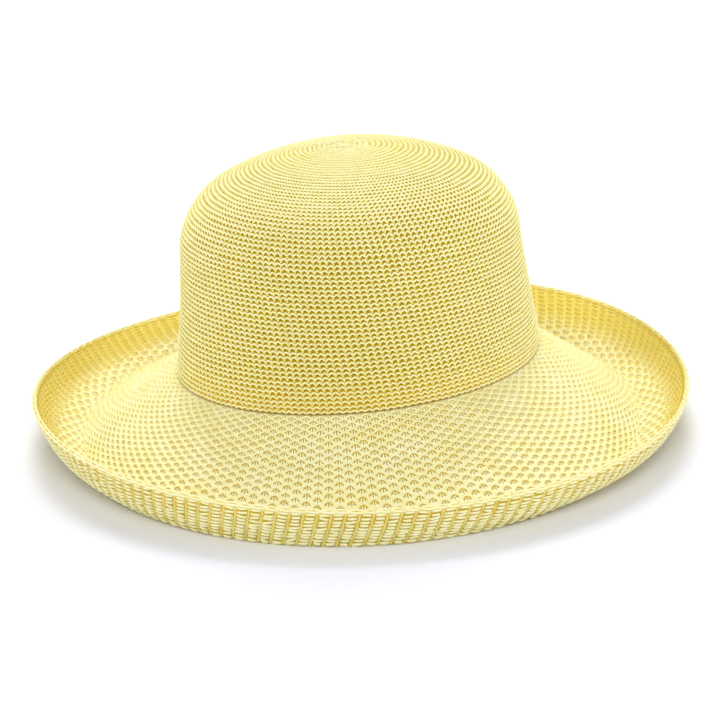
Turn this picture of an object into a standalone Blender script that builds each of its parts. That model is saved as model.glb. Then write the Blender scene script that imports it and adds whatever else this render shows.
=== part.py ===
"""Breton hat in cotton knit: a tall oval crown and a brim turned up all round.

Metres, +Z up, resting on the rolled brim. The long way of the head runs along Y, with the front at -Y.
"""

import math

import bmesh
import bpy
import numpy as np

# Sizes
HEAD_GIRTH = 0.585
HEAD_LENGTH_TO_WIDTH = 1.205
CROWN_RISE = 0.1185
JOIN_HEIGHT = 0.0391
RIM_RADIUS = 0.1784
RIM_HEIGHT = 0.0237
CROWN_WALL = 0.0022
BRIM_WALL = 0.0024
EDGE_CORD = 0.0028
GAP = 0.0003
LIP_HEIGHT = RIM_HEIGHT - EDGE_CORD - GAP
SEGMENTS = 64

# Crown sections from the join up. rise: share of CROWN_RISE. girth: share of the head's half length and half
# width. drift: how far the soft top has sagged to one side, as a share of CROWN_RISE
CROWN_SECTIONS = (
    # rise, girth, drift
    (0.000, 1.000, 0.000),
    (0.080, 0.997, 0.000),
    (0.220, 0.975, 0.004),
    (0.380, 0.951, 0.012),
    (0.520, 0.935, 0.020),
    (0.640, 0.920, 0.026),
    (0.740, 0.865, 0.032),
    (0.830, 0.768, 0.036),
    (0.900, 0.606, 0.040),
    (0.955, 0.410, 0.043),
    (0.987, 0.230, 0.045),
    (1.000, 0.000, 0.045),
)
DRIFT_BEARING = math.radians(205)

# Under face of the brim from the join out. reach: share of the way from the join's oval to the rim's circle.
# height: share of JOIN_HEIGHT before the valley and of LIP_HEIGHT past it. lift: how much of the rim's wave the
# section takes. pull: how much of the valley's oval it takes
BRIM_SECTIONS = (
    # reach, height, lift, pull
    (-0.028, 0.934, 0.0, 0.00),
    (-0.004, 0.930, 0.0, 0.00),
    (0.040, 0.895, 0.0, 0.00),
    (0.140, 0.785, 0.0, 0.00),
    (0.300, 0.570, 0.0, 0.10),
    (0.480, 0.350, 0.0, 0.30),
    (0.620, 0.170, 0.0, 0.60),
    (0.700, 0.080, 0.0, 0.80),
    (0.745, 0.030, 0.0, 0.95),
    (0.775, 0.000, 0.0, 1.00),
    (0.812, 0.000, 0.0, 1.00),
    (0.863, 0.144, 0.1, 0.67),
    (0.909, 0.293, 0.3, 0.41),
    (0.944, 0.483, 0.6, 0.21),
    (0.971, 0.731, 0.85, 0.09),
    (0.992, 0.975, 1.0, 0.00),
)
VALLEY_PULL = 0.009
VALLEY_PULL_BEARING = math.radians(151)

# Slow waves of the rim. rise: share of RIM_HEIGHT
RIM_WAVES = (
    # lobes, rise, bearing of a crest
    (2, 0.140, math.radians(92)),
    (3, 0.046, math.radians(118)),
)

for old in list(bpy.data.objects):
    bpy.data.objects.remove(old)

hat = bpy.data.collections.new("breton_hat")
bpy.context.scene.collection.children.link(hat)

# Half length and half width of the head's oval, by Ramanujan's rule for the girth of an ellipse
oval_rule = 3 * (HEAD_LENGTH_TO_WIDTH + 1) - math.sqrt((3 * HEAD_LENGTH_TO_WIDTH + 1) * (HEAD_LENGTH_TO_WIDTH + 3))
HALF_WIDTH = HEAD_GIRTH / (math.pi * oval_rule)
HALF_LENGTH = HALF_WIDTH * HEAD_LENGTH_TO_WIDTH


def eased(rows, between, last=None):
    """Points of a smooth curve through the rows, with so many steps between two of them."""
    rows = np.array(rows, float)
    before = 2 * rows[0] - rows[1]
    after = 2 * rows[-1] - rows[-2] if last is None else np.array(last, float)
    held = np.vstack([before, rows, after])
    points = []
    for i in range(1, len(held) - 2):
        a, b, c, d = held[i - 1 : i + 3]
        for k in range(between):
            t = k / between
            cubic = -a + 3 * b - 3 * c + d
            square = 2 * a - 5 * b + 4 * c - d
            points.append((2 * b + (c - a) * t + square * t**2 + cubic * t**3) / 2)
    points.append(rows[-1])
    return np.array(points)


def rim_wave(bearing):
    return RIM_HEIGHT * sum(rise * math.cos(lobes * (bearing - crest)) for lobes, rise, crest in RIM_WAVES)


def spun(name, profile, place, closed=False):
    """A profile of (radius, height) shares turned once round, then each point put in its place."""
    bm = bmesh.new()
    points = [bm.verts.new((radius, 0.0, height)) for radius, height in profile]
    pairs = list(zip(points, points[1:]))
    if closed:
        pairs.append((points[-1], points[0]))
    edges = [bm.edges.new(pair) for pair in pairs]
    bmesh.ops.spin(
        bm,
        geom=points + edges,
        cent=(0, 0, 0),
        axis=(0, 0, 1),
        angle=2 * math.pi,
        steps=SEGMENTS,
        use_merge=True,
    )
    bmesh.ops.remove_doubles(bm, verts=bm.verts, dist=0.00001)
    for vert in bm.verts:
        radius = math.hypot(vert.co.x, vert.co.y)
        vert.co = place(radius, math.atan2(vert.co.y, vert.co.x), vert.co.z)
    bmesh.ops.recalc_face_normals(bm, faces=bm.faces)
    for face in bm.faces:
        face.smooth = True
    mesh = bpy.data.meshes.new(name)
    bm.to_mesh(mesh)
    bm.free()
    obj = bpy.data.objects.new(name, mesh)
    hat.objects.link(obj)
    return obj


def walled(obj, thickness):
    wall = obj.modifiers.new("wall", "SOLIDIFY")
    wall.thickness = thickness
    wall.offset = -1
    wall.use_even_offset = True


def knit(obj, name, colour, roughness):
    yarn = bpy.data.materials.new(name)
    yarn.use_nodes = True
    shader = yarn.node_tree.nodes["Principled BSDF"]
    shader.inputs["Base Color"].default_value = colour
    shader.inputs["Roughness"].default_value = roughness
    obj.data.materials.append(yarn)


# Crown: an oval shell, widest at the join, full in the side and rounded over to a soft flat top
crown_curve = eased(CROWN_SECTIONS, 2, last=(0.987, -0.230, 0.045))


def on_crown(girth, bearing, rise):
    drift = np.interp(rise, crown_curve[:, 0], crown_curve[:, 2]) * CROWN_RISE
    x = HALF_WIDTH * girth * math.cos(bearing) + drift * math.cos(DRIFT_BEARING)
    y = HALF_LENGTH * girth * math.sin(bearing) + drift * math.sin(DRIFT_BEARING)
    return x, y, JOIN_HEIGHT + GAP + CROWN_RISE * rise


crown = spun("crown", [(girth, rise) for rise, girth, drift in crown_curve], on_crown)
walled(crown, CROWN_WALL)
knit(crown, "crown_knit", (0.86, 0.70, 0.22, 1.0), 0.9)

# Brim: slopes down from the join to the valley it rests on, then rolls up into the lip
brim_curve = eased(BRIM_SECTIONS, 1)
valley_share = BRIM_SECTIONS[9][0]


def on_brim(reach, bearing, height):
    out = reach - 1.0
    full_height = JOIN_HEIGHT if out < valley_share else LIP_HEIGHT
    lift = np.interp(out, brim_curve[:, 0], brim_curve[:, 2])
    pull = np.interp(out, brim_curve[:, 0], brim_curve[:, 3])
    pulled = VALLEY_PULL * pull * math.cos(2 * (bearing - VALLEY_PULL_BEARING))
    x = (HALF_WIDTH * (1 - out) + RIM_RADIUS * out + pulled) * math.cos(bearing)
    y = (HALF_LENGTH * (1 - out) + RIM_RADIUS * out + pulled) * math.sin(bearing)
    return x, y, full_height * height + lift * rim_wave(bearing)


brim = spun("brim", [(1.0 + row[0], row[1]) for row in brim_curve], on_brim)
walled(brim, BRIM_WALL)
knit(brim, "brim_knit", (0.84, 0.67, 0.20, 1.0), 0.9)


# Rim edge: the cast-off edge, a soft cord of knitting along the top of the lip
def on_rim(across, bearing, height):
    """The cord's section is turned round the rim. across and height are metres from the cord's middle."""
    out = RIM_RADIUS - BRIM_WALL / 2 + across - 1.0
    top = RIM_HEIGHT - EDGE_CORD / 2 + rim_wave(bearing)
    return out * math.cos(bearing), out * math.sin(bearing), top + height


cord_section = [
    (1.0 + EDGE_CORD / 2 * math.cos(turn), EDGE_CORD / 2 * math.sin(turn))
    for turn in np.linspace(0, 2 * math.pi, 8, endpoint=False)
]
rim_edge = spun("rim_edge", cord_section, on_rim, closed=True)
knit(rim_edge, "edge_knit", (0.90, 0.78, 0.34, 1.0), 0.9)
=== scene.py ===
"""Breton hat in pale yellow cotton knit: camera, crown, brim, lip, cast-off edge, table and light."""

import math

import bmesh
import bpy
import numpy as np
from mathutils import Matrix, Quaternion, Vector


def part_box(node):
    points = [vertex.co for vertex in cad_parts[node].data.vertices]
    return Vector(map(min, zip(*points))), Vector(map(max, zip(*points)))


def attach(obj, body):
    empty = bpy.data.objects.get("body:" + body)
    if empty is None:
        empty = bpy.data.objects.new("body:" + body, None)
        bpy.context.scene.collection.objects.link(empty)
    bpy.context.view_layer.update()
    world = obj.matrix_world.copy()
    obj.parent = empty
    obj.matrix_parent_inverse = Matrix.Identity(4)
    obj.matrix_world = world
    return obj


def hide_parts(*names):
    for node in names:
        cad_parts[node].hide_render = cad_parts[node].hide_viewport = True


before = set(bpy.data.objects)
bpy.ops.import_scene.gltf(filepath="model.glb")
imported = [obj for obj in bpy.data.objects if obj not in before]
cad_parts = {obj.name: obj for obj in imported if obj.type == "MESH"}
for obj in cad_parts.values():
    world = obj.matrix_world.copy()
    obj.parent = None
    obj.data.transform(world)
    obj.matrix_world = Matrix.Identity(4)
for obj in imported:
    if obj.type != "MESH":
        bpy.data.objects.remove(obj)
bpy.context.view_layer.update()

# Camera: a long lens a little above the hat, off its front left, turned by two degrees.
IMAGE_WIDTH = 720
FOCAL_PIXELS = 3132.3
AIM = Vector((0, 0, 0.0617))
AIM_PIXEL = (358.0, 316.5)
CAMERA_DISTANCE = 1.7
CAMERA_BEARING = math.radians(-29)
CAMERA_ELEVATION = math.radians(19.25)
CAMERA_ROLL = math.radians(-2.15)

camera_data = bpy.data.cameras.new("camera")
camera_data.sensor_width = 36
camera_data.lens = FOCAL_PIXELS / IMAGE_WIDTH * camera_data.sensor_width
camera = bpy.data.objects.new("camera", camera_data)
bpy.context.scene.collection.objects.link(camera)
bpy.context.scene.camera = camera
towards_camera = Vector(
    (
        math.cos(CAMERA_ELEVATION) * math.cos(CAMERA_BEARING),
        math.cos(CAMERA_ELEVATION) * math.sin(CAMERA_BEARING),
        math.sin(CAMERA_ELEVATION),
    )
)
down_turn = math.atan((IMAGE_WIDTH / 2 - AIM_PIXEL[1]) / FOCAL_PIXELS)
side_turn = math.atan((IMAGE_WIDTH / 2 - AIM_PIXEL[0]) / FOCAL_PIXELS)
looking = (-towards_camera).to_track_quat("-Z", "Y")
looking = looking @ Quaternion((0, 0, 1), CAMERA_ROLL)
looking = looking @ Quaternion((1, 0, 0), -down_turn) @ Quaternion((0, 1, 0), -side_turn)
camera.location = AIM + CAMERA_DISTANCE * towards_camera
camera.rotation_mode = "QUATERNION"
camera.rotation_quaternion = looking

# Crown ground: the soft oval shell itself, the purl side of a plain knit out. Between the courses of yarn
# its own loops show, as legs from course to course and gaps between them, both painted darker gold as shade;
# near the join the gaps are painted warmer as light reflected from the brim.
HEAD_GIRTH = 0.585
HEAD_LENGTH_TO_WIDTH = 1.205
oval_rule = 3 * (HEAD_LENGTH_TO_WIDTH + 1) - math.sqrt((3 * HEAD_LENGTH_TO_WIDTH + 1) * (HEAD_LENGTH_TO_WIDTH + 3))
HALF_WIDTH = HEAD_GIRTH / (math.pi * oval_rule)
HALF_LENGTH = HALF_WIDTH * HEAD_LENGTH_TO_WIDTH
CROWN_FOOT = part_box("crown")[0][2]
CROWN_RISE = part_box("crown")[1][2] - CROWN_FOOT
CROWN_WALL = 0.0022
DRIFT_BEARING = math.radians(205)
CROWN_SECTIONS = (
    # rise, girth, drift
    (0.000, 1.000, 0.000),
    (0.080, 0.997, 0.000),
    (0.220, 0.975, 0.004),
    (0.380, 0.951, 0.012),
    (0.520, 0.935, 0.020),
    (0.640, 0.920, 0.026),
    (0.740, 0.865, 0.032),
    (0.830, 0.768, 0.036),
    (0.900, 0.606, 0.040),
    (0.955, 0.410, 0.043),
    (0.987, 0.230, 0.045),
    (1.000, 0.000, 0.045),
)
WALES = 160
COURSE_PITCH = 0.00255
WALE_LEAN = 0.1
COURSE_TILT = 0.005
COURSE_TILT_BEARING = math.radians(-119)


def eased(rows, between, last=None):
    """Points of a smooth curve through the rows, with so many steps between two of them."""
    rows = np.array(rows, float)
    before = 2 * rows[0] - rows[1]
    after = 2 * rows[-1] - rows[-2] if last is None else np.array(last, float)
    held = np.vstack([before, rows, after])
    points = []
    for i in range(1, len(held) - 2):
        a, b, c, d = held[i - 1 : i + 3]
        for k in range(between):
            t = k / between
            cubic = -a + 3 * b - 3 * c + d
            square = 2 * a - 5 * b + 4 * c - d
            points.append((2 * b + (c - a) * t + square * t**2 + cubic * t**3) / 2)
    points.append(rows[-1])
    return np.array(points)


def length_along(radius, height):
    """Distance along a profile from its first point to each of its points."""
    return np.concatenate([[0], np.cumsum(np.hypot(np.diff(radius), np.diff(height)))])


crown_curve = eased(CROWN_SECTIONS, 12, last=(0.987, -0.230, 0.045))
crown_way = length_along(crown_curve[:, 1] * (HALF_WIDTH + HALF_LENGTH) / 2, crown_curve[:, 0] * CROWN_RISE)
COURSES = round(crown_way[-1] / COURSE_PITCH)


def on_crown(turn, climb):
    """Outer face of the crown. turn: share of the way round. climb: share of the way from join to top."""
    rise, girth, drift = (np.interp(climb, crown_way / crown_way[-1], column) for column in crown_curve.T)
    bearing = 2 * math.pi * turn
    drift = drift * CROWN_RISE
    x = HALF_WIDTH * girth * np.cos(bearing) + drift * math.cos(DRIFT_BEARING)
    y = HALF_LENGTH * girth * np.sin(bearing) + drift * math.sin(DRIFT_BEARING)
    return np.stack([x, y, CROWN_FOOT + CROWN_RISE * rise + 0 * bearing], axis=-1)


def rolled_shell(name, on_surface, around, along, wall, stitches):
    """A grid rolled into a shell, with a wall, its UV map in stitches across and rows along."""
    bm = bmesh.new()
    bm.loops.layers.uv.new("UVMap")
    bmesh.ops.create_grid(bm, x_segments=around, y_segments=along, size=0.5, calc_uvs=True)
    uv_layer = bm.loops.layers.uv.active
    for face in bm.faces:
        for loop in face.loops:
            loop[uv_layer].uv = stitches(loop.vert.co.x + 0.5, loop.vert.co.y + 0.5)
    flat = np.array([vert.co for vert in bm.verts]) + 0.5
    for vert, place in zip(bm.verts, on_surface(flat[:, 0], flat[:, 1])):
        vert.co = place
    bmesh.ops.remove_doubles(bm, verts=bm.verts, dist=0.00001)
    for face in bm.faces:
        face.smooth = True
    mesh = bpy.data.meshes.new(name)
    bm.to_mesh(mesh)
    bm.free()
    obj = bpy.data.objects.new(name, mesh)
    bpy.context.scene.collection.objects.link(obj)
    shell = obj.modifiers.new("wall", "SOLIDIFY")
    shell.thickness = wall
    shell.offset = -1
    shell.use_even_offset = True
    shell.material_offset = 1
    return obj


def course_tilt(turn, climb):
    """The courses aren't level: half way up they stand higher on one side. A share of the way, like climb."""
    tilt = COURSE_TILT / crown_way[-1] * np.cos(2 * math.pi * turn - COURSE_TILT_BEARING)
    return tilt * np.sin(math.pi * climb)


def crown_stitches(turn, climb):
    course = COURSES * (climb - course_tilt(turn, climb))
    return WALES * turn + WALE_LEAN * course, course


crown = rolled_shell("crown_ground", on_crown, 160, 70, CROWN_WALL, crown_stitches)
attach(crown, "root")
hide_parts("crown")


def fibre_group():
    """Cotton fibre: a slow tint, a quick tint and a fine relief for any yarn or knitted ground."""
    group = bpy.data.node_groups.new("cotton_fibre", "ShaderNodeTree")
    face = group.interface
    face.new_socket("Fibre Scale", in_out="INPUT", socket_type="NodeSocketFloat")
    face.new_socket("Slow Scale", in_out="INPUT", socket_type="NodeSocketFloat")
    face.new_socket("Relief", in_out="INPUT", socket_type="NodeSocketFloat")
    face.new_socket("Normal In", in_out="INPUT", socket_type="NodeSocketVector")
    face.new_socket("Tint", in_out="OUTPUT", socket_type="NodeSocketFloat")
    face.new_socket("Normal", in_out="OUTPUT", socket_type="NodeSocketVector")
    nodes = group.nodes
    links = group.links
    into = nodes.new("NodeGroupInput")
    out = nodes.new("NodeGroupOutput")
    place = nodes.new("ShaderNodeTexCoord")
    fine = nodes.new("ShaderNodeTexNoise")
    fine.inputs["Detail"].default_value = 1.0
    slow = nodes.new("ShaderNodeTexNoise")
    slow.inputs["Detail"].default_value = 2.0
    blend = nodes.new("ShaderNodeMix")
    blend.inputs["Factor"].default_value = 0.5
    bump = nodes.new("ShaderNodeBump")
    bump.inputs["Distance"].default_value = 0.0002
    links.new(place.outputs["Object"], fine.inputs["Vector"])
    links.new(place.outputs["Object"], slow.inputs["Vector"])
    links.new(into.outputs["Fibre Scale"], fine.inputs["Scale"])
    links.new(into.outputs["Slow Scale"], slow.inputs["Scale"])
    links.new(fine.outputs["Fac"], blend.inputs["A"])
    links.new(slow.outputs["Fac"], blend.inputs["B"])
    links.new(fine.outputs["Fac"], bump.inputs["Height"])
    links.new(into.outputs["Relief"], bump.inputs["Strength"])
    links.new(into.outputs["Normal In"], bump.inputs["Normal"])
    links.new(blend.outputs["Result"], out.inputs["Tint"])
    links.new(bump.outputs["Normal"], out.inputs["Normal"])
    return group


cotton_fibre = fibre_group()


def new_knit(name, roughness=0.9):
    """A matt cotton material with the fibre group placed in it. Returns material, shader and fibre node."""
    material = bpy.data.materials.new(name)
    material.use_nodes = True
    nodes = material.node_tree.nodes
    shader = nodes["Principled BSDF"]
    shader.inputs["Roughness"].default_value = roughness
    shader.inputs["Specular IOR Level"].default_value = 0.12
    shader.inputs["Sheen Weight"].default_value = 0.06
    shader.inputs["Sheen Roughness"].default_value = 0.5
    fibre = nodes.new("ShaderNodeGroup")
    fibre.node_tree = cotton_fibre
    fibre.inputs["Fibre Scale"].default_value = 1600
    fibre.inputs["Slow Scale"].default_value = 60
    fibre.inputs["Relief"].default_value = 0.4
    material.node_tree.links.new(fibre.outputs["Normal"], shader.inputs["Normal"])
    return material, shader, fibre


def tinted(material, factor, low, high):
    """Colour between two tints by a factor socket."""
    ramp = material.node_tree.nodes.new("ShaderNodeMix")
    ramp.data_type = "RGBA"
    ramp.inputs["A"].default_value = low
    ramp.inputs["B"].default_value = high
    material.node_tree.links.new(factor, ramp.inputs["Factor"])
    return ramp.outputs["Result"]


def blended(material, factor, under, over):
    """One colour over another by a factor. under is a socket, over a socket or a colour."""
    tree = material.node_tree
    mix = tree.nodes.new("ShaderNodeMix")
    mix.data_type = "RGBA"
    tree.links.new(factor, mix.inputs["Factor"])
    tree.links.new(under, mix.inputs["A"])
    if isinstance(over, bpy.types.NodeSocket):
        tree.links.new(over, mix.inputs["B"])
    else:
        mix.inputs["B"].default_value = over
    return mix.outputs["Result"]


def sums(material):
    """A function that adds one Math node to a material and returns its value."""
    tree = material.node_tree

    def step(operation, *terms):
        node = tree.nodes.new("ShaderNodeMath")
        node.operation = operation
        for socket, term in zip(node.inputs, terms):
            if isinstance(term, bpy.types.NodeSocket):
                tree.links.new(term, socket)
            else:
                socket.default_value = term
        return node.outputs["Value"]

    return step


def between(material, value, low, high):
    """Smooth step of a value from 0 at low to 1 at high."""
    tree = material.node_tree
    node = tree.nodes.new("ShaderNodeMapRange")
    node.interpolation_type = "SMOOTHSTEP"
    tree.links.new(value, node.inputs["Value"])
    node.inputs["From Min"].default_value = low
    node.inputs["From Max"].default_value = high
    return node.outputs["Result"]


def stitch_place(material, map_name="UVMap"):
    """The two coordinates of a piece's UV map."""
    tree = material.node_tree
    uv = tree.nodes.new("ShaderNodeUVMap")
    uv.uv_map = map_name
    split = tree.nodes.new("ShaderNodeSeparateXYZ")
    tree.links.new(uv.outputs["UV"], split.inputs["Vector"])
    return split.outputs["X"], split.outputs["Y"]


def raised(material, height, depth, fibre):
    """Relief of a height socket, under the fibre's own relief."""
    tree = material.node_tree
    bump = tree.nodes.new("ShaderNodeBump")
    bump.inputs["Distance"].default_value = depth
    tree.links.new(height, bump.inputs["Height"])
    tree.links.new(bump.outputs["Normal"], fibre.inputs["Normal In"])


YARN_PALE = (0.96, 0.93, 0.55, 1.0)
YARN_DEEP = (0.95, 0.88, 0.40, 1.0)
# Painted shade: the gaps between the courses are deep gold, paler near the top, and the legs on the ground are a
# darker gold than the yarn.
GAP_SHADE_GOLD = (0.41, 0.27, 0.001, 1.0)
GAP_BOUNCE_WARM = (0.62, 0.36, 0.01, 1.0)
LEG_SHADE_GOLD = (0.72, 0.58, 0.07, 1.0)
GAP_SHADE_TOP = (0.84, 0.68, 0.16, 1.0)
BOUNCE_COURSES = 9.0


def purl_ground():
    """Legs from course to course, two to a stitch, over gaps. Legs and gaps are painted darker gold as shade, the
    gaps paler near the top and warmer near the join as painted reflected light.
    """
    material, shader, fibre = new_knit("crown_purl_ground")
    tree = material.node_tree
    step = sums(material)
    across, along = stitch_place(material)
    swing = step("COSINE", step("MULTIPLY", across, 2 * math.pi))
    leg = step("SUBTRACT", 1.0, between(material, swing, -0.7, 0.2))
    middle = between(material, along, COURSES - 8.0, COURSES - 4.0)
    leg = step("MAXIMUM", leg, middle)
    # Painted reflected light: the gaps in the lowest courses are warmer amber, as light thrown up from the brim.
    gap_shade = tinted(material, between(material, along, BOUNCE_COURSES, 0.0), GAP_SHADE_GOLD, GAP_BOUNCE_WARM)
    # Painted shade, paler near the top of the crown.
    gap_shade = blended(material, between(material, along, COURSES - 20.0, COURSES - 12.0), gap_shade, GAP_SHADE_TOP)
    # Painted shade: darker gold legs over deep gold gaps, with plain yarn colour at the very top.
    colour = blended(material, middle, blended(material, leg, gap_shade, LEG_SHADE_GOLD), YARN_DEEP)
    tree.links.new(colour, shader.inputs["Base Color"])
    raised(material, leg, 0.0004, fibre)
    return material


def stocking_ground(name, pale, deep):
    """The plain side seen from within: columns of nested V stitches, painted with the deeper tint in the grooves
    as shade.
    """
    material, shader, fibre = new_knit(name)
    tree = material.node_tree
    step = sums(material)
    across, along = stitch_place(material)
    column = step("ABSOLUTE", step("SUBTRACT", step("FRACT", across), 0.5))
    nested = step("FRACT", step("ADD", along, step("MULTIPLY", column, 1.4)))
    arm = step("PINGPONG", nested, 0.5)
    ridge = between(material, arm, 0.08, 0.32)
    groove = between(material, column, 0.02, 0.12)
    height = step("MULTIPLY", ridge, groove)
    # Painted shade: the grooves between the nested V stitches take the deeper tint.
    tree.links.new(tinted(material, height, deep, pale), shader.inputs["Base Color"])
    raised(material, height, 0.0005, fibre)
    return material


crown.data.materials.append(purl_ground())
crown.data.materials.append(stocking_ground("crown_inside", YARN_PALE, YARN_DEEP))

# Crown courses: each course is one yarn laid round the head in small waves, a wave to a stitch. Each course is
# shifted by a tenth of a stitch on the one below, so the wales lean. The top is knitted in less evenly.
COURSE_WIDTH = 0.00092
COURSE_THICKNESS = 0.00085
WAVE_RISE = 0.0006
STITCH_POINTS = 5
TOP_LOBES = 8
TOP_WOBBLE = 0.0012
TOP_SPREAD = 0.4
random = np.random.default_rng(11)


def outward(on_surface, turn, climb, side=1):
    """Unit normals of a surface at the given places."""
    nudge = 0.0005
    east = on_surface(turn + nudge, climb) - on_surface(turn - nudge, climb)
    north = on_surface(turn, np.minimum(climb + nudge, 1)) - on_surface(turn, climb - nudge)
    normal = np.cross(east, north) * side
    return normal / np.linalg.norm(normal, axis=-1, keepdims=True)


def slow_noise(turn, waves, size):
    """A few random slow waves round the hat, the same each run."""
    phase = random.uniform(0, 2 * math.pi, (len(turn),) + (1,) * (turn.ndim - 1) + (len(waves),))
    shares = random.uniform(0.4, 1.0, phase.shape) * size / math.sqrt(len(waves))
    return (shares * np.cos(2 * math.pi * turn[..., None] * np.array(waves) + phase)).sum(axis=-1)


def yarn(name, paths, outs, wide, thick, closed, sides=4):
    """Strands of yarn as closed tubes. paths and outs: strand, point, xyz. wide, thick: strand, point."""
    strands, points = paths.shape[:2]
    if closed:
        along = np.roll(paths, -1, axis=1) - np.roll(paths, 1, axis=1)
    else:
        along = np.gradient(paths, axis=1)
    along = along / np.linalg.norm(along, axis=-1, keepdims=True)
    across = np.cross(outs, along)
    across = across / np.linalg.norm(across, axis=-1, keepdims=True)
    outs = np.cross(along, across)
    corner = 2 * math.pi * (np.arange(sides) + 0.5) / sides
    reach = np.broadcast_to(wide, paths.shape[:2])[..., None, None] / 2 * np.cos(corner)[:, None]
    lift = np.broadcast_to(thick, paths.shape[:2])[..., None, None] / 2 * np.sin(corner)[:, None]
    grow = 1 / math.cos(math.pi / sides)
    places = paths[:, :, None] + grow * (reach * across[:, :, None] + lift * outs[:, :, None])
    index = np.arange(strands * points * sides).reshape(strands, points, sides)
    ahead = np.roll(index, -1, axis=1)
    beside = np.roll(index, -1, axis=2)
    corner_ahead = np.roll(ahead, -1, axis=2)
    quads = np.stack([index, beside, corner_ahead, ahead], axis=-1)
    if not closed:
        quads = quads[:, :-1]
    faces = quads.reshape(-1, 4)
    if not closed:
        faces = np.concatenate([faces, index[:, 0, ::-1].reshape(-1, 4), index[:, -1].reshape(-1, 4)])
    places[..., 2] = np.maximum(places[..., 2], 0)
    mesh = bpy.data.meshes.new(name)
    mesh.from_pydata(places.reshape(-1, 3), [], faces)
    mesh.shade_smooth()
    obj = bpy.data.objects.new(name, mesh)
    bpy.context.scene.collection.objects.link(obj)
    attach(obj, "root")
    return obj


def yarn_material(name, pale, deep, fibre_relief=0.5):
    material, shader, fibre = new_knit(name)
    fibre.inputs["Relief"].default_value = fibre_relief
    fibre.inputs["Slow Scale"].default_value = 240
    tint = between(material, fibre.outputs["Tint"], 0.35, 0.65)
    material.node_tree.links.new(tinted(material, tint, deep, pale), shader.inputs["Base Color"])
    return material


course_yarn = yarn_material("crown_yarn", YARN_PALE, YARN_DEEP)


def lay_courses(name, first, last, wales=WALES):
    course = np.arange(first, last)
    turn = np.arange(wales * STITCH_POINTS) / (wales * STITCH_POINTS)
    turn = np.broadcast_to(turn, (len(course), len(turn)))
    height = (course + 0.5) / COURSES
    stitch = 2 * math.pi * (wales * turn + WALE_LEAN * course[:, None])
    girth = np.interp(height, crown_way / crown_way[-1], crown_curve[:, 1])[:, None]
    small = np.clip(girth / 0.85, 0.25, 1)
    wave = WAVE_RISE * small * np.cos(stitch) * random.normal(1, 0.12, turn.shape)
    wave += slow_noise(turn, (5, 9, 14, 23), 0.00016)
    near_top = np.clip((height[:, None] - 0.86) / 0.1, 0, 1)
    wave += near_top * 0.0006 * np.cos(2 * math.pi * TOP_LOBES * turn + 0.35 * course[:, None])
    wave += near_top * small * slow_noise(turn, (2, 3, 7, 13), TOP_WOBBLE)
    climb = height[:, None] + course_tilt(turn, height[:, None]) + wave / crown_way[-1]
    climb = np.clip(climb, 0.002, 0.998)
    normal = outward(on_crown, turn, climb)
    lift = 0.00014 + 0.00026 * small * np.cos(stitch) + random.normal(0, 0.00005, turn.shape)
    path = on_crown(turn, climb) + lift[..., None] * normal
    wide = COURSE_WIDTH * (1 + 0.06 * random.normal(0, 1, turn.shape))
    wide = wide * (1 + TOP_SPREAD * near_top * np.clip((0.99 - height[:, None]) / 0.03, 0, 1))
    obj = yarn(name, path, normal, wide, COURSE_THICKNESS, closed=True)
    obj.data.materials.append(course_yarn)


TOP_COURSES = 14
THIRD = -(-(COURSES - TOP_COURSES) // 3)
lay_courses("crown_courses_low", 0, THIRD)
lay_courses("crown_courses_middle", THIRD, 2 * THIRD)
lay_courses("crown_courses_high", 2 * THIRD, COURSES - TOP_COURSES)
lay_courses("crown_courses_top", COURSES - TOP_COURSES, COURSES - 1, WALES // 2)

# Crown legs: at each trough of the waves a leg of yarn runs down to the course below, so the gaps between the
# courses are short dark spots and not grooves. The legs' yarn is painted a darker gold than the courses' yarn, as
# shade.
LEG_YARN = 0.0009
SHADED_LEG_PALE = (0.90, 0.81, 0.28, 1.0)
SHADED_LEG_DEEP = (0.82, 0.68, 0.15, 1.0)
shaded_leg_yarn = yarn_material("crown_leg_yarn", SHADED_LEG_PALE, SHADED_LEG_DEEP)


def lay_legs(name, first, last):
    course = np.arange(first, last)[:, None, None]
    stitch = np.arange(WALES)[:, None] + 0.5 + random.normal(0, 0.04, (len(course), WALES, 1))
    rise = np.array([0.42, 1.0])
    turn = (stitch - WALE_LEAN * (course + rise)) / WALES
    height = (course + rise + 0.3) / COURSES
    climb = np.clip(height + course_tilt(turn, height), 0.002, 0.998)
    turn, climb = (grid.reshape(-1, 2) for grid in (turn, climb))
    normal = outward(on_crown, turn, climb)
    path = on_crown(turn, climb) + 0.00005 * normal
    girth = np.interp(climb, crown_way / crown_way[-1], crown_curve[:, 1])
    wide = LEG_YARN * np.clip(girth / 0.85, 0.3, 1)
    obj = yarn(name, path, normal, wide, LEG_YARN * 0.7, closed=False)
    obj.data.materials.append(shaded_leg_yarn)


lay_legs("crown_legs", 0, COURSES - 5)

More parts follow.
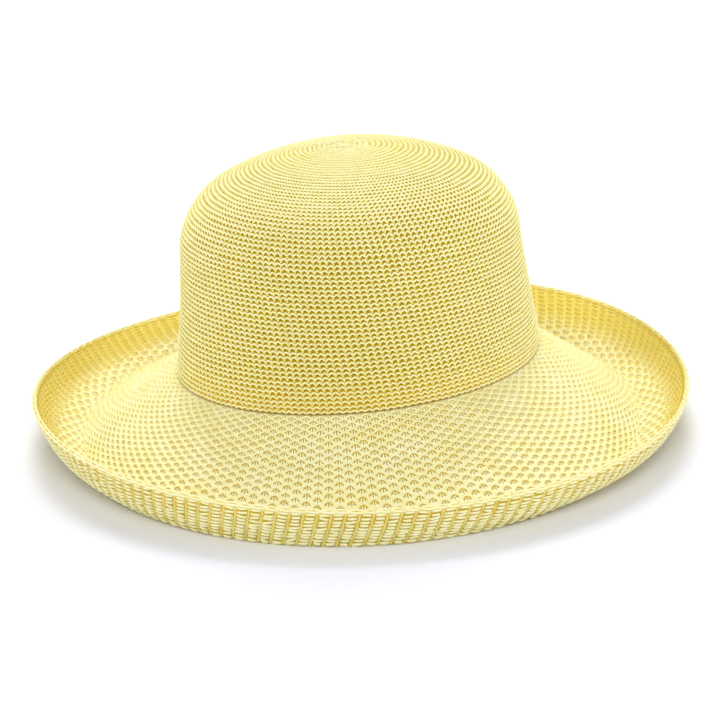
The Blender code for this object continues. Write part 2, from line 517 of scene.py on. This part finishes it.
# Brim ground: the open tuck knit of the brim, one fabric from the join down to the valley that the hat rests
# on and up into the lip. Its upper face is pale with an arc of painted shadow and three short slits of painted
# shade at each tuck; on the lip's face the pale is painted golder and the slits warmer, as reflected light.
RIM_RADIUS = 0.1784
BRIM_WALL = 0.0024
JOIN_HEIGHT = 0.0391
RIM_HEIGHT = 0.0237
EDGE_CORD = 0.0028
LIP_HEIGHT = RIM_HEIGHT - EDGE_CORD - 0.0003
BRIM_SECTIONS = (
    # reach, height, lift, pull
    (-0.028, 0.934, 0.0, 0.00),
    (-0.004, 0.930, 0.0, 0.00),
    (0.040, 0.895, 0.0, 0.00),
    (0.140, 0.785, 0.0, 0.00),
    (0.300, 0.570, 0.0, 0.10),
    (0.480, 0.350, 0.0, 0.30),
    (0.620, 0.170, 0.0, 0.60),
    (0.700, 0.080, 0.0, 0.80),
    (0.745, 0.030, 0.0, 0.95),
    (0.775, 0.000, 0.0, 1.00),
    (0.812, 0.000, 0.0, 1.00),
    (0.863, 0.144, 0.1, 0.67),
    (0.909, 0.293, 0.3, 0.41),
    (0.944, 0.483, 0.6, 0.21),
    (0.971, 0.731, 0.85, 0.09),
    (0.992, 0.975, 1.0, 0.00),
)
VALLEY = 9
VALLEY_PULL = 0.009
VALLEY_PULL_BEARING = math.radians(151)
RIM_WAVES = (
    # lobes, rise, bearing of a crest
    (2, 0.140, math.radians(92)),
    (3, 0.046, math.radians(118)),
)
INTO_EDGE = (0.9935, RIM_HEIGHT - EDGE_CORD / 2, 1.0, 0.0)
CURVE_STEPS = 6
SLOPE_PITCH = 0.0045
LIP_PITCH = 0.0022
LOW_LIP = 12
LIP_LEAN = 0.07

brim_rows = [
    (reach, height * (JOIN_HEIGHT if i < VALLEY else LIP_HEIGHT), lift, pull)
    for i, (reach, height, lift, pull) in enumerate(BRIM_SECTIONS)
]
brim_curve = eased(brim_rows + [INTO_EDGE], CURVE_STEPS)
join_radius = (HALF_WIDTH + HALF_LENGTH) / 2
brim_way = length_along(join_radius + (RIM_RADIUS - join_radius) * brim_curve[:, 0], brim_curve[:, 1])
valley_way = brim_way[CURVE_STEPS * VALLEY]
low_lip_way = brim_way[CURVE_STEPS * LOW_LIP]
SLOPE_ROWS = round(valley_way / SLOPE_PITCH)
LOW_LIP_ROWS = SLOPE_ROWS + round((low_lip_way - valley_way) / SLOPE_PITCH)
BRIM_ROWS = LOW_LIP_ROWS + round((brim_way[-1] - low_lip_way) / LIP_PITCH)
ROW_MARKS = (0, SLOPE_ROWS, LOW_LIP_ROWS, BRIM_ROWS)
OUT_MARKS = (0, valley_way / brim_way[-1], low_lip_way / brim_way[-1], 1)


def rim_wave(bearing):
    return RIM_HEIGHT * sum(rise * np.cos(lobes * (bearing - crest)) for lobes, rise, crest in RIM_WAVES)


def under_brim(turn, out):
    """Lower and outer face of the brim. out: share of the way from the join to the lip's edge."""
    reach, height, lift, pull = (np.interp(out, brim_way / brim_way[-1], column) for column in brim_curve.T)
    bearing = 2 * math.pi * turn
    pulled = VALLEY_PULL * pull * np.cos(2 * (bearing - VALLEY_PULL_BEARING))
    x = (HALF_WIDTH * (1 - reach) + RIM_RADIUS * reach + pulled) * np.cos(bearing)
    y = (HALF_LENGTH * (1 - reach) + RIM_RADIUS * reach + pulled) * np.sin(bearing)
    return np.stack([x, y, np.maximum(height + lift * rim_wave(bearing), 0)], axis=-1)


def brim_lean(row):
    """How far the wales have leant by a row, in wales. They run straight down the slope and lean on the lip."""
    return LIP_LEAN * np.maximum(row - SLOPE_ROWS, 0)


def brim_stitches(turn, out):
    row = np.interp(out, OUT_MARKS, ROW_MARKS)
    return WALES * turn - brim_lean(row), row


def brim_place(wale, row):
    """Turn and out of a place given in wales across and rows along."""
    return (wale + brim_lean(row)) / WALES, np.interp(row, ROW_MARKS, OUT_MARKS)


brim = rolled_shell("brim_ground", under_brim, 160, 80, BRIM_WALL, brim_stitches)
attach(brim, "root")
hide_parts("brim")

BRIM_PALE = (0.96, 0.93, 0.57, 1.0)
BRIM_DEEP = (0.95, 0.88, 0.43, 1.0)
LIP_BOUNCE_GOLD = (0.92, 0.76, 0.20, 1.0)
ARC_SHADOW_GOLD = (0.72, 0.50, 0.03, 1.0)
SLIT_SHADE_GOLD = (0.44, 0.28, 0.003, 1.0)
AMBER_SHADE = (0.80, 0.46, 0.02, 1.0)
TUCK_RADIUS = 0.0020
TUCK_HUB = 0.0008
TOOTH_APART = 0.00125
TOOTH_FOOT = 0.0007


def radius_out(material):
    """Distance from the hat's own axis, in metres."""
    tree = material.node_tree
    place = tree.nodes.new("ShaderNodeTexCoord")
    flat = tree.nodes.new("ShaderNodeVectorMath")
    flat.operation = "MULTIPLY"
    flat.inputs[1].default_value = (1.0, 1.0, 0.0)
    reach = tree.nodes.new("ShaderNodeVectorMath")
    reach.operation = "LENGTH"
    tree.links.new(place.outputs["Object"], flat.inputs[0])
    tree.links.new(flat.outputs["Vector"], reach.inputs[0])
    return reach.outputs["Value"]


def tuck_ground():
    """Pale ground with a painted shadow arc and three slits of painted shade for each tuck, every second wale half
    a row on. On the lip it is painted golder and the slits amber, as reflected light.
    """
    material, shader, fibre = new_knit("brim_tuck_ground")
    tree = material.node_tree
    step = sums(material)
    across, along = stitch_place(material)
    pitch = step("MULTIPLY", radius_out(material), 2 * math.pi / WALES)
    odd = step("FLOORED_MODULO", step("FLOOR", across), 2.0)
    x = step("MULTIPLY", step("SUBTRACT", step("FRACT", across), 0.5), pitch)
    row = step("SUBTRACT", step("FRACT", step("ADD", along, step("MULTIPLY", odd, 0.5))), 0.5)
    y = step("SUBTRACT", step("MULTIPLY", row, SLOPE_PITCH), TUCK_HUB)
    radius = step("SQRT", step("ADD", step("MULTIPLY", x, x), step("MULTIPLY", y, y)))
    above = step("SUBTRACT", 1.0, between(material, y, -0.0004, 0.0004))
    ring = step("ABSOLUTE", step("SUBTRACT", radius, TUCK_RADIUS))
    arc = step("MULTIPLY", step("SUBTRACT", 1.0, between(material, ring, 0.00012, 0.0004)), above)
    beside = step("ABSOLUTE", x)
    tooth = step("MINIMUM", beside, step("ABSOLUTE", step("SUBTRACT", beside, TOOTH_APART)))
    slit = step("SUBTRACT", 1.0, between(material, tooth, 0.0001, 0.0003))
    hung = step("SUBTRACT", TOOTH_FOOT, step("MULTIPLY", beside, 0.6))
    within = step("SUBTRACT", 1.0, between(material, radius, 0.0016, 0.0020))
    within = step("MULTIPLY", within, between(material, step("SUBTRACT", hung, y), 0.0, 0.0004))
    slit = step("MULTIPLY", slit, within)
    shown = between(material, along, 0.3, 1.2)
    lip = between(material, along, SLOPE_ROWS + 1.0, BRIM_ROWS - 3.0)
    tint = between(material, fibre.outputs["Tint"], 0.35, 0.65)
    # Painted reflected light: the lip's inner face is golder than the slope.
    plain = blended(material, lip, tinted(material, tint, BRIM_DEEP, BRIM_PALE), LIP_BOUNCE_GOLD)
    # Painted shadow: a gold arc just under each tuck loop.
    colour = blended(material, step("MULTIPLY", arc, shown), plain, ARC_SHADOW_GOLD)
    # Painted shade in the slits: dark gold on the slope, warmer amber on the lip.
    deep = tinted(material, lip, SLIT_SHADE_GOLD, AMBER_SHADE)
    colour = blended(material, step("MULTIPLY", slit, shown), colour, deep)
    tree.links.new(colour, shader.inputs["Base Color"])
    raised(material, step("SUBTRACT", 1.0, step("MAXIMUM", arc, slit)), 0.0003, fibre)
    return material


# Painted shade for the ground in the grooves and under the bars.
GROOVE_SHADE_YELLOW = (0.80, 0.66, 0.13, 1.0)
BAR_SHADE = (0.55, 0.41, 0.02, 1.0)
SPOTTED_ROWS = 5.0


def bar_ground():
    """Under face: a column of short bars to each wale, a groove between, spots near the rim. The ground is painted
    shade: darker yellow in the grooves, darker still under the bars, warm amber in spots between bars near the
    rim.
    """
    material, shader, fibre = new_knit("brim_bar_ground")
    tree = material.node_tree
    step = sums(material)
    across, along = stitch_place(material)
    column = step("ABSOLUTE", step("SUBTRACT", step("FRACT", across), 0.5))
    body = step("SUBTRACT", 1.0, between(material, column, 0.30, 0.42))
    bar = between(material, step("PINGPONG", along, 0.5), 0.06, 0.25)
    height = step("MULTIPLY", body, step("ADD", 0.3, step("MULTIPLY", bar, 0.7)))
    # Painted shade: darker yellow in the grooves, darker still under the bars.
    groove = tinted(material, body, GROOVE_SHADE_YELLOW, BAR_SHADE)
    # Painted shade: warm amber spots in the gaps between bars near the rim.
    spot = step("SUBTRACT", 1.0, between(material, step("ABSOLUTE", step("SUBTRACT", column, 0.37)), 0.10, 0.18))
    spot = step("MULTIPLY", spot, step("SUBTRACT", 1.0, between(material, bar, 0.3, 1.0)))
    spot = step("MULTIPLY", spot, between(material, along, BRIM_ROWS - SPOTTED_ROWS, BRIM_ROWS - SPOTTED_ROWS + 2))
    tree.links.new(blended(material, spot, groove, AMBER_SHADE), shader.inputs["Base Color"])
    raised(material, height, 0.0006, fibre)
    return material


brim.data.materials.append(bar_ground())
brim.data.materials.append(tuck_ground())

# Tuck loops: a pale arch of yarn stands over each painted shadow arc, every second wale half a row on.
ARCH_RADIUS = 0.0025
ARCH_SWING = 1.2
ARCH_POINTS = 6
ARCH_YARN = 0.0008
BOUNCE_FROM, BOUNCE_TO = 0.148, 0.172
brim_yarn = yarn_material("brim_yarn", BRIM_PALE, BRIM_DEEP)


def tuck_yarn_material():
    """The brim's yarn, painted more golden towards the rim as reflected light, where the lip closes in on it."""
    material, shader, fibre = new_knit("brim_tuck_yarn")
    tint = tinted(material, between(material, fibre.outputs["Tint"], 0.35, 0.65), BRIM_DEEP, BRIM_PALE)
    # Painted reflected light, stronger towards the rim.
    lip = between(material, radius_out(material), BOUNCE_FROM, BOUNCE_TO)
    material.node_tree.links.new(blended(material, lip, tint, LIP_BOUNCE_GOLD), shader.inputs["Base Color"])
    return material


tuck_yarn = tuck_yarn_material()


def lay_arches(name, odd):
    wale = np.arange(odd, WALES, 2) + 0.5
    row = np.arange(1, BRIM_ROWS - 1) + (0.5 if odd == 0 else 0.0)
    wale, row = (grid.ravel()[:, None] for grid in np.meshgrid(wale, row))
    swing = np.linspace(-ARCH_SWING, ARCH_SWING, ARCH_POINTS)
    middle = under_brim(*brim_place(wale, row))
    pitch = 2 * math.pi * np.hypot(middle[..., 0], middle[..., 1]) / WALES
    radius = ARCH_RADIUS * random.normal(1, 0.05, row.shape)
    row = row + (TUCK_HUB - radius * np.cos(swing)) / SLOPE_PITCH
    turn, out = brim_place(wale + radius * np.sin(swing) / pitch, row)
    normal = -outward(under_brim, turn, out)
    lift = BRIM_WALL + 0.0003 * np.cos(swing)
    path = under_brim(turn, out) + lift[:, None] * normal
    wide = ARCH_YARN * np.interp(row, ROW_MARKS, (1.0, 0.95, 0.85, 0.7))
    obj = yarn(name, path, normal, wide, wide, closed=False)
    obj.data.materials.append(tuck_yarn)


lay_arches("brim_tucks_even", 0)
lay_arches("brim_tucks_odd", 1)

# Lip bars: outside, each wale of the lip is a column of short bars of yarn, and one thin strand runs up each
# groove between two columns. Where the hat rests they are pressed flat.
BAR_HALF = 0.34
BAR_WIDTHS = (0.0024, 0.0022, 0.0012, 0.0011)
BAR_THICK = 0.0010
BAR_POINTS = 4
BAR_START = SLOPE_ROWS - 3
STRAND_THICK = 0.0005
GROOVE_PALE = (0.95, 0.88, 0.42, 1.0)
GROOVE_DEEP = (0.80, 0.62, 0.12, 1.0)
groove_yarn = yarn_material("brim_groove_yarn", GROOVE_PALE, GROOVE_DEEP)


def rested(path, thick):
    """A path kept so high that yarn of this thickness doesn't pass through what the hat rests on."""
    path[..., 2] = np.maximum(path[..., 2], thick / 2)
    return path


def lay_bars(name):
    row = np.arange(BAR_START, BRIM_ROWS) + 0.5
    wale, row = (grid.ravel()[:, None] for grid in np.meshgrid(np.arange(WALES) + 0.5, row))
    reach = np.linspace(-BAR_HALF, BAR_HALF, BAR_POINTS) * random.normal(1, 0.1, row.shape)
    shift = random.normal(0, 0.07, row.shape) + random.normal(0, 0.3, row.shape) * reach
    turn, out = brim_place(wale + reach, row + shift)
    normal = outward(under_brim, turn, out)
    lift = 0.0005 * (1 - (np.abs(reach) / BAR_HALF) ** 2) - 0.0003
    path = rested(under_brim(turn, out) + lift[..., None] * normal, BAR_THICK)
    obj = yarn(name, path, normal, np.interp(row, ROW_MARKS, BAR_WIDTHS), BAR_THICK, closed=False)
    obj.data.materials.append(brim_yarn)


def lay_strands(name):
    row = np.arange(BAR_START, BRIM_ROWS, 0.5)
    zigzag = 0.05 * np.where(np.arange(len(row)) % 2, 1, -1)
    wale = np.arange(WALES)[:, None] + zigzag + random.normal(0, 0.008, (WALES, len(row)))
    turn, out = brim_place(wale, np.broadcast_to(row, wale.shape))
    normal = outward(under_brim, turn, out)
    path = rested(under_brim(turn, out), STRAND_THICK)
    obj = yarn(name, path, normal, STRAND_THICK, STRAND_THICK, closed=False)
    obj.data.materials.append(groove_yarn)


lay_bars("lip_bars")
lay_strands("lip_strands")

# Rim edge: the last row is cast off, so a loop of yarn lies over the next one all round a soft core.
CORE_SHARE = 0.78
EDGE_POINTS = 6
LOOP_POINTS = 8
LOOP_REACH = 0.56
LOOP_YARN = 0.0008
SCALLOP = 0.00015

def edge_place(turn, up, across):
    """A place on the edge: up and across are metres from the cord's middle, across is outward."""
    bearing = 2 * math.pi * turn
    radius = RIM_RADIUS - BRIM_WALL / 2 + across
    height = RIM_HEIGHT - EDGE_CORD / 2 + rim_wave(bearing) + up
    return np.stack([radius * np.cos(bearing), radius * np.sin(bearing), height], axis=-1)


def lay_edge(name):
    turn = np.arange(WALES * EDGE_POINTS)[None] / (WALES * EDGE_POINTS)
    scallop = SCALLOP * np.cos(2 * math.pi * turn * WALES) + random.normal(0, SCALLOP / 2, turn.shape)
    path = edge_place(turn, scallop, scallop)
    normal = edge_place(turn, 0, 1.0) - edge_place(turn, 0, 0.0)
    thick = EDGE_CORD * CORE_SHARE * (0.94 + 0.06 * np.cos(2 * math.pi * turn * WALES))
    obj = yarn(name, path, normal, thick, thick, closed=True, sides=8)
    obj.data.materials.append(groove_yarn)
    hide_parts("rim_edge")


def lay_loops(name):
    wale = np.arange(WALES)[:, None] + 0.5
    swing = 2 * math.pi * np.arange(LOOP_POINTS) / LOOP_POINTS
    turn = (wale + LOOP_REACH * np.cos(swing) + random.normal(0, 0.03, wale.shape)) / WALES
    side = 0.0009 * np.sin(swing) + random.normal(0, 0.0001, wale.shape)
    lift = EDGE_CORD / 2 - 0.0003 - 0.0003 * np.cos(swing)
    path = edge_place(turn, 0.8 * lift - 0.6 * side, 0.6 * lift + 0.8 * side)
    normal = edge_place(turn, 0.8, 0.6) - edge_place(turn, 0.0, 0.0)
    obj = yarn(name, path, normal, LOOP_YARN, LOOP_YARN, closed=True)
    obj.data.materials.append(brim_yarn)
    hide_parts("rim_edge")


lay_edge("rim_core")
lay_loops("rim_loops")

# Table and light: a white sheet under the hat, a bright room all round, two broad lamps high behind the
# hat and three low ones, in front and at the sides. The shadow falls forward.
TABLE_HALF = 8.0

bm = bmesh.new()
bmesh.ops.create_grid(bm, x_segments=1, y_segments=1, size=TABLE_HALF)
table_mesh = bpy.data.meshes.new("table")
bm.to_mesh(table_mesh)
bm.free()
table = bpy.data.objects.new("table", table_mesh)
bpy.context.scene.collection.objects.link(table)
paper = bpy.data.materials.new("white_paper")
paper.use_nodes = True
paper_shader = paper.node_tree.nodes["Principled BSDF"]
paper_shader.inputs["Base Color"].default_value = (0.83, 0.84, 0.89, 1.0)
paper_shader.inputs["Roughness"].default_value = 0.9
table_mesh.materials.append(paper)

world = bpy.data.worlds.new("room")
world.use_nodes = True
world.node_tree.nodes["Background"].inputs["Color"].default_value = (0.93, 0.95, 1.0, 1.0)
world.node_tree.nodes["Background"].inputs["Strength"].default_value = 0.38
bpy.context.scene.world = world


def soft_sun(name, bearing, elevation, strength, breadth):
    """A sun as broad as a studio lamp. bearing is turned from the camera's own, all in degrees."""
    lamp = bpy.data.lights.new(name, "SUN")
    lamp.energy = strength
    lamp.angle = math.radians(breadth)
    obj = bpy.data.objects.new(name, lamp)
    around = CAMERA_BEARING + math.radians(bearing)
    high = math.radians(elevation)
    towards = Vector((math.cos(high) * math.cos(around), math.cos(high) * math.sin(around), math.sin(high)))
    obj.rotation_euler = towards.to_track_quat("Z", "Y").to_euler()
    bpy.context.scene.collection.objects.link(obj)


soft_sun("top_lamp", 180, 62, 0.3, 25)
soft_sun("back_lamp", 180, 43, 1.75, 28)
soft_sun("front_lamp", 0, 44, 1.35, 40)
soft_sun("left_lamp", -85, 12, 1.1, 40)
soft_sun("right_lamp", 82, 10, 1.3, 40)
bpy.context.scene.view_settings.view_transform = "Standard"
